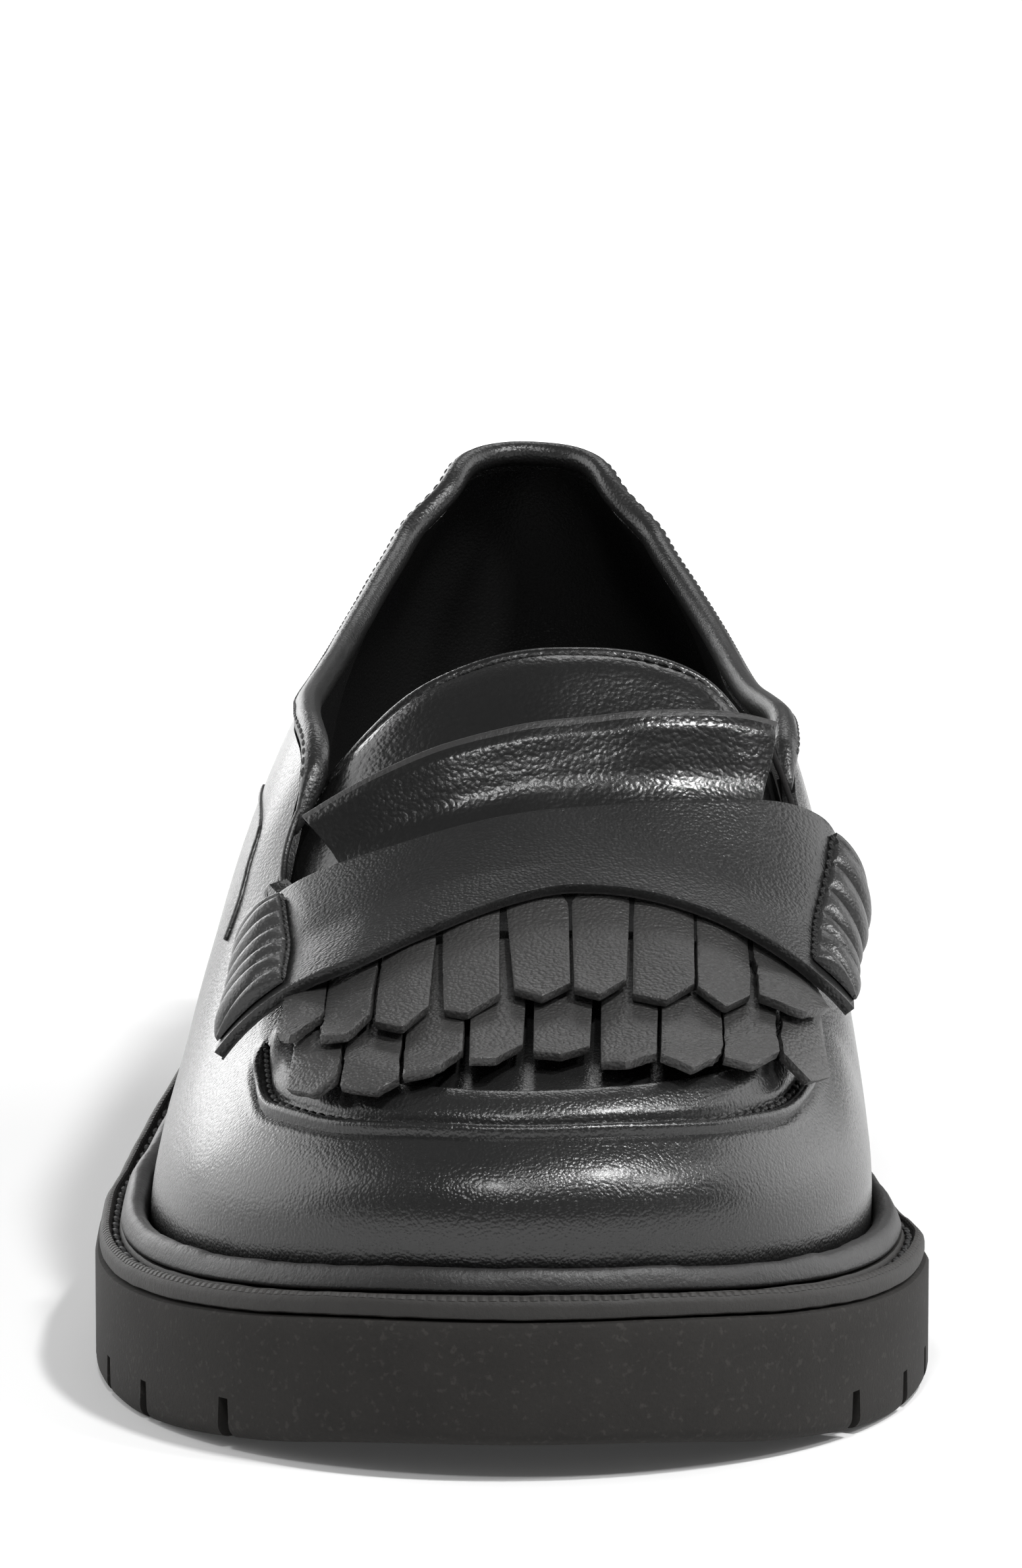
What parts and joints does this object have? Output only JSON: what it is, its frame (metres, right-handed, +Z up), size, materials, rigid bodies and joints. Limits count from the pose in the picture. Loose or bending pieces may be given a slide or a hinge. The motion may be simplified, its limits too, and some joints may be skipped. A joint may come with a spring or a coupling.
{
  "type": "kiltie loafer",
  "caption": "Right slip-on loafer in leather with a raised apron seam, a fringed kiltie under a saddle strap, a padded tongue, a welted lug sole and a separate block heel.",
  "frame": {"origin": "on the floor under the middle of the shoe's bounding box, with the shoe standing on its sole", "axes": "+Z up, +Y from the toe to the heel along the shoe, +X to the medial (big toe) side"},
  "size_m": [0.1067, 0.272, 0.0957],
  "materials": {
    "outsole": "matte",
    "heel": "matte",
    "welt": "satin",
    "rand": "satin",
    "insole": "matte",
    "upper": "semi-gloss, fine grain",
    "tongue": "semi-gloss, pebbled",
    "saddle_strap": "semi-gloss, fine grain",
    "roll_lateral": "semi-gloss",
    "roll_medial": "semi-gloss",
    "kiltie": "semi-gloss, pebbled",
    "collar": "semi-gloss",
    "gore_lateral": "matte, ribbed",
    "gore_medial": "matte, ribbed"
  },
  "bodies": {
    "root": {"outsole": "outsole", "heel": "heel", "welt": "welt", "rand": "rand", "insole": "insole", "upper": "upper", "tongue": "tongue", "saddle_strap": "saddle_strap", "roll_lateral": "roll_lateral", "roll_medial": "roll_medial", "kiltie": "kiltie", "collar": "collar", "gore_lateral": "gore_lateral", "gore_medial": "gore_medial"}
  },
  "joints": []
}
